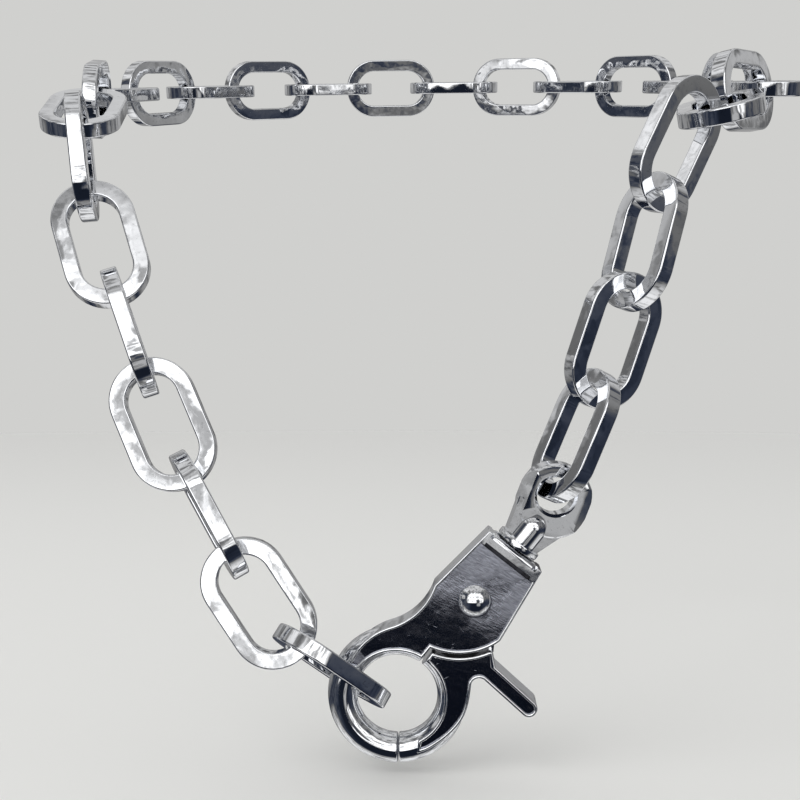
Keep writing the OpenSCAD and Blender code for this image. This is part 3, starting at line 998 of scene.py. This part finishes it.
def studio_world():
    """A pale room. The metal sees a window in front, a dark room below it and pale walls."""
    world = bpy.data.worlds.new("studio")
    world.use_nodes = True
    bpy.context.scene.world = world
    tree = world.node_tree
    link = tree.links.new
    back = tree.nodes["Background"]
    place = node(tree, "ShaderNodeTexCoord")
    split = node(tree, "ShaderNodeSeparateXYZ")
    link(place.outputs["Generated"], split.inputs["Vector"])
    x, y, z = (split.outputs[k] for k in "XYZ")

    def ramp(source, low, high, to_low=0.0, to_high=1.0):
        """A soft bound of a part of the room, along one axis of the direction."""
        return mapped(tree, source, (low, high), (to_low, to_high))

    def combine(operation, *values):
        """Sockets and numbers taken together, the first of them a socket."""
        result = values[0]
        for value in values[1:]:
            made = node(tree, "ShaderNodeMath", operation=operation)
            link(result, made.inputs[0])
            if isinstance(value, float):
                made.inputs[1].default_value = value
            else:
                link(value, made.inputs[1])
            result = made.outputs[0]
        return result

    front = ramp(y, -0.62, -0.80)
    window = combine("MULTIPLY", front, ramp(z, -0.315, -0.255), ramp(z, 0.75, 0.5, 0.25, 1.0))
    window = combine("MULTIPLY", window, WINDOW_LIGHT)
    pillar = combine("MULTIPLY", ramp(x, 0.07, 0.13), ramp(x, 0.45, 0.35), ramp(z, 0.08, 0.0))
    window = combine("MULTIPLY", window, ramp(pillar, 0.0, 1.0, 1.0, PILLAR_SHADE))
    ceiling = combine("MULTIPLY", ramp(z, 0.5, 0.8), CEILING_LIGHT)
    left_wall = combine("MULTIPLY", ramp(x, -0.3, -0.7), ramp(z, 0.4, 0.72, 0.07, 0.9))
    right_wall = combine("MULTIPLY", ramp(x, 0.4, 0.8), ramp(z, -0.3, 0.3, 0.03, 0.2))
    behind = combine("MULTIPLY", ramp(y, 0.0, 0.5), ramp(z, -0.1, 0.6, 0.25, 0.55),
                     ramp(z, -0.38, -0.2, 0.15, 1.0))
    ground = combine("MULTIPLY", ramp(z, -0.35, -0.7), ramp(y, -0.45, 0.05), GROUND_LIGHT)
    low_card = combine("MULTIPLY", ramp(x, 0.1, 0.2), ramp(x, 0.5, 0.38), ramp(z, -0.28, -0.34),
                       ramp(z, -0.62, -0.5), front, LOW_CARD_LIGHT)
    side_card = combine("MULTIPLY", ramp(x, -0.8, -0.88), ramp(y, -0.6, -0.5), ramp(y, -0.1, -0.2),
                        ramp(z, -0.05, 0.05), ramp(z, 0.35, 0.25), SIDE_CARD_LIGHT)
    bright = combine("MAXIMUM", window, ceiling, left_wall, right_wall, behind, ground,
                     low_card, side_card)
    patches = noise(tree, place.outputs["Generated"], 7.0, 3.0, 0.55)
    bright = combine("MULTIPLY", bright, ramp(patches, 0.36, 0.56, 0.3, 1.15))
    bright = combine("ADD", bright, DARKEST)
    tone = node(tree, "ShaderNodeMix", data_type="RGBA")
    tone.inputs["A"].default_value = SHADE_COLOR
    tone.inputs["B"].default_value = LIGHT_COLOR
    link(ramp(bright, 0.0, 0.16), tone.inputs["Factor"])
    seen = node(tree, "ShaderNodeVectorMath", operation="SCALE")
    link(tone.outputs["Result"], seen.inputs[0])
    link(bright, seen.inputs["Scale"])

    path = node(tree, "ShaderNodeLightPath")
    lit = node(tree, "ShaderNodeMix", data_type="RGBA")
    link(path.outputs["Is Diffuse Ray"], lit.inputs["Factor"])
    link(seen.outputs["Vector"], lit.inputs["A"])
    lit.inputs["B"].default_value = DOME
    shown = node(tree, "ShaderNodeMix", data_type="RGBA")
    link(path.outputs["Is Camera Ray"], shown.inputs["Factor"])
    link(lit.outputs["Result"], shown.inputs["A"])
    shown.inputs["B"].default_value = BACKDROP
    link(shown.outputs["Result"], back.inputs["Color"])


class NECKLACE_OT_stage(bpy.types.Operator):
    """Set up the floor, the soft light, the studio and the camera"""

    bl_idname = "necklace.stage"
    bl_label = "Stage"

    def execute(self, context):
        finish = context.scene.necklace_finish
        low = Vector(cad_box[0])
        bm = bmesh.new()
        bmesh.ops.create_circle(bm, cap_ends=True, segments=96, radius=FLOOR_R)
        mesh = bpy.data.meshes.new("floor")
        bmesh.ops.translate(bm, verts=bm.verts, vec=(0, 0, low.z - FLOOR_DROP))
        bm.to_mesh(mesh)
        bm.free()
        floor = bpy.data.objects.new("floor", mesh)
        bpy.context.scene.collection.objects.link(floor)
        material, _, shader = new_material("pale_floor")
        shader.inputs["Base Color"].default_value = (*finish.floor_tint, 1)
        shader.inputs["Roughness"].default_value = 0.7
        mesh.materials.append(material)
        studio_world()
        floor.visible_glossy = False
        soft_light("window", LAMP_AT, LAMP_AIM, LAMP_SIZE, LAMP_WATTS)

        camera = bpy.data.cameras.new("camera")
        camera.sensor_width = 36
        camera.lens = LENS_MM
        camera.clip_start = 0.01
        camera.clip_end = 10
        viewer = bpy.data.objects.new("camera", camera)
        viewer.location = clasp_matrix().translation + CAMERA_FROM_HOOP
        viewer.rotation_euler = (pi / 2, 0, 0)
        bpy.context.scene.collection.objects.link(viewer)
        context.scene.camera = viewer
        context.scene.view_settings.view_transform = "Standard"
        return {"FINISHED"}


OPERATORS = (
    NECKLACE_OT_links, NECKLACE_OT_clasp_body, NECKLACE_OT_trigger, NECKLACE_OT_rivet,
    NECKLACE_OT_swivel_eye, NECKLACE_OT_stage,
)


class NECKLACE_PT_panel(bpy.types.Panel):
    """Sizes, colours and pieces of the necklace"""

    bl_label = "Necklace"
    bl_idname = "NECKLACE_PT_panel"
    bl_space_type = "VIEW_3D"
    bl_region_type = "UI"
    bl_category = "Necklace"

    def draw(self, context):
        for group in ("necklace_link_sizes", "necklace_clasp_sizes", "necklace_finish"):
            settings = getattr(context.scene, group)
            box = self.layout.box()
            for name in settings.__annotations__:
                box.prop(settings, name)
        for operator in OPERATORS:
            self.layout.operator(operator.bl_idname)


CLASSES = (NecklaceLinkSizes, NecklaceClaspSizes, NecklaceFinish, *OPERATORS, NECKLACE_PT_panel)


def register():
    """Registers the settings, the operators and the panel."""
    for cls in CLASSES:
        bpy.utils.register_class(cls)
    bpy.types.Scene.necklace_link_sizes = PointerProperty(type=NecklaceLinkSizes)
    bpy.types.Scene.necklace_clasp_sizes = PointerProperty(type=NecklaceClaspSizes)
    bpy.types.Scene.necklace_finish = PointerProperty(type=NecklaceFinish)


def unregister():
    """Takes back what register does."""
    del bpy.types.Scene.necklace_finish
    del bpy.types.Scene.necklace_clasp_sizes
    del bpy.types.Scene.necklace_link_sizes
    for cls in reversed(CLASSES):
        bpy.utils.unregister_class(cls)


def main():
    """Makes the stage and every piece."""
    register()
    bpy.ops.necklace.stage()
    bpy.ops.necklace.links()
    bpy.ops.necklace.clasp_body()
    bpy.ops.necklace.trigger()
    bpy.ops.necklace.rivet()
    bpy.ops.necklace.swivel_eye()


if __name__ == "__main__":
    main()
